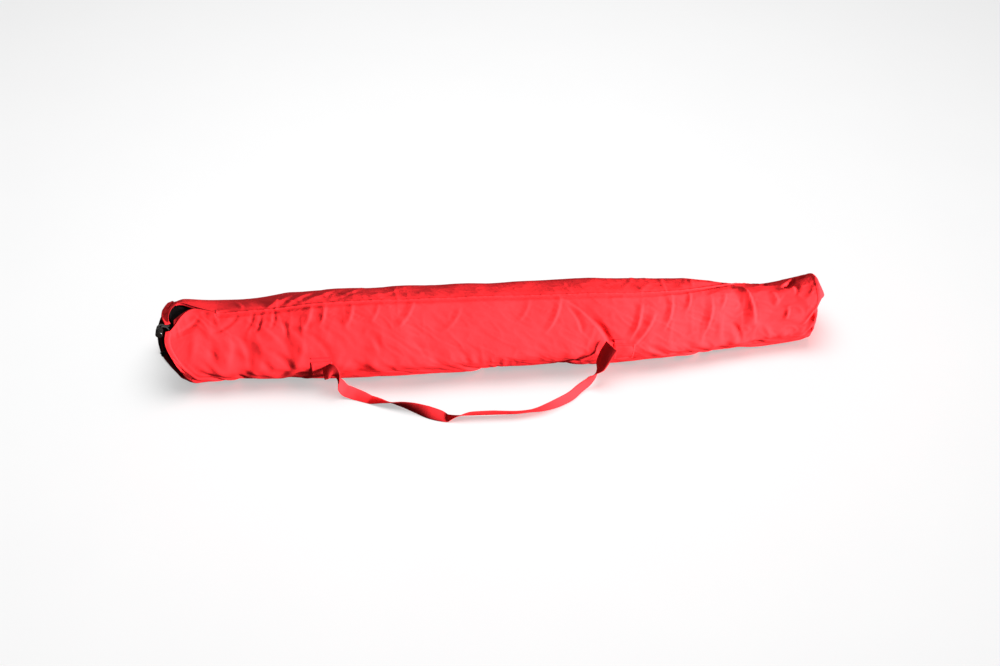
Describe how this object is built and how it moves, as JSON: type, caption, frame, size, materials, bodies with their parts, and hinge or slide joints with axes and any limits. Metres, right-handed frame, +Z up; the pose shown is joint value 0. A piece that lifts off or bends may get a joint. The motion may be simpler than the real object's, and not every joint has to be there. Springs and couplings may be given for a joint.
{
  "type": "drawstring ski bag",
  "caption": "Long round padded ski bag with a drawstring mouth, cord lock, slit and seam along the top, and a flat carry strap sewn on at box-stitched patches.",
  "frame": {"origin": "on the flattened underside of the bag, at the middle of its length, where it rests on the floor", "axes": "+X along the bag from the drawstring mouth to the closed end, +Z up, -Y towards the side that the carry strap is sewn to"},
  "size_m": [1.6549, 0.3618, 0.2105],
  "materials": {
    "shell_nylon": "coated woven nylon, bright red, soft sheen",
    "trim_nylon": "the same nylon, seen from its darker coated back",
    "thread": "red sewing thread",
    "liner_padded": "charcoal woven lining over thin foam",
    "liner_binding": "black woven tape",
    "cord_black": "black braided cord",
    "lock_plastic": "black moulded nylon, satin",
    "spring_steel": "bare wire"
  },
  "bodies": {
    "bag": {"outer_shell": "shell_nylon", "shell_end": "shell_nylon", "end_panel": "shell_nylon", "end_binding": "trim_nylon", "top_seam_ridge": "shell_nylon", "top_seam_stitching": "thread", "slit_facing_front": "trim_nylon", "slit_facing_back": "trim_nylon", "slit_bartack": "thread", "mouth_casing": "shell_nylon", "mouth_stitching_front": "thread", "mouth_stitching_back": "thread", "drawcord": "cord_black", "inner_liner": "liner_padded", "liner_end_pad": "liner_padded", "liner_mouth_binding": "liner_binding", "strap_tab_left": "trim_nylon", "strap_tab_right": "trim_nylon", "strap_patch_left": "shell_nylon", "strap_patch_right": "shell_nylon", "backing_patch_left": "trim_nylon", "backing_patch_right": "trim_nylon", "box_stitch_left": "thread", "box_stitch_right": "thread", "drawcord_tail_front": "cord_black", "drawcord_tail_back": "cord_black", "cord_end_knot": "cord_black"},
    "strap": {"carry_strap": "shell_nylon"},
    "cord_lock": {"lock_barrel": "lock_plastic", "lock_spring": "spring_steel"},
    "lock_button": {"lock_plunger": "lock_plastic"}
  },
  "joints": [
    {"name": "strap_swing", "type": "hinge", "parent": "bag", "child": "strap", "pos_m": [-0.0765, -0.108, 0.08], "axis": [-1, 0, 0], "range_deg": [0, 135]},
    {"name": "lock_slide", "type": "slide", "parent": "bag", "child": "cord_lock", "axis": [0, 0, -1], "range_m": [0, 0.045]},
    {"name": "button_press", "type": "slide", "parent": "cord_lock", "child": "lock_button", "axis": [0, -1, 0], "range_m": [0, 0.004], "stiffness_N_per_m": 400, "springref_m": -0.003, "deforming": ["lock_spring"]}
  ]
}
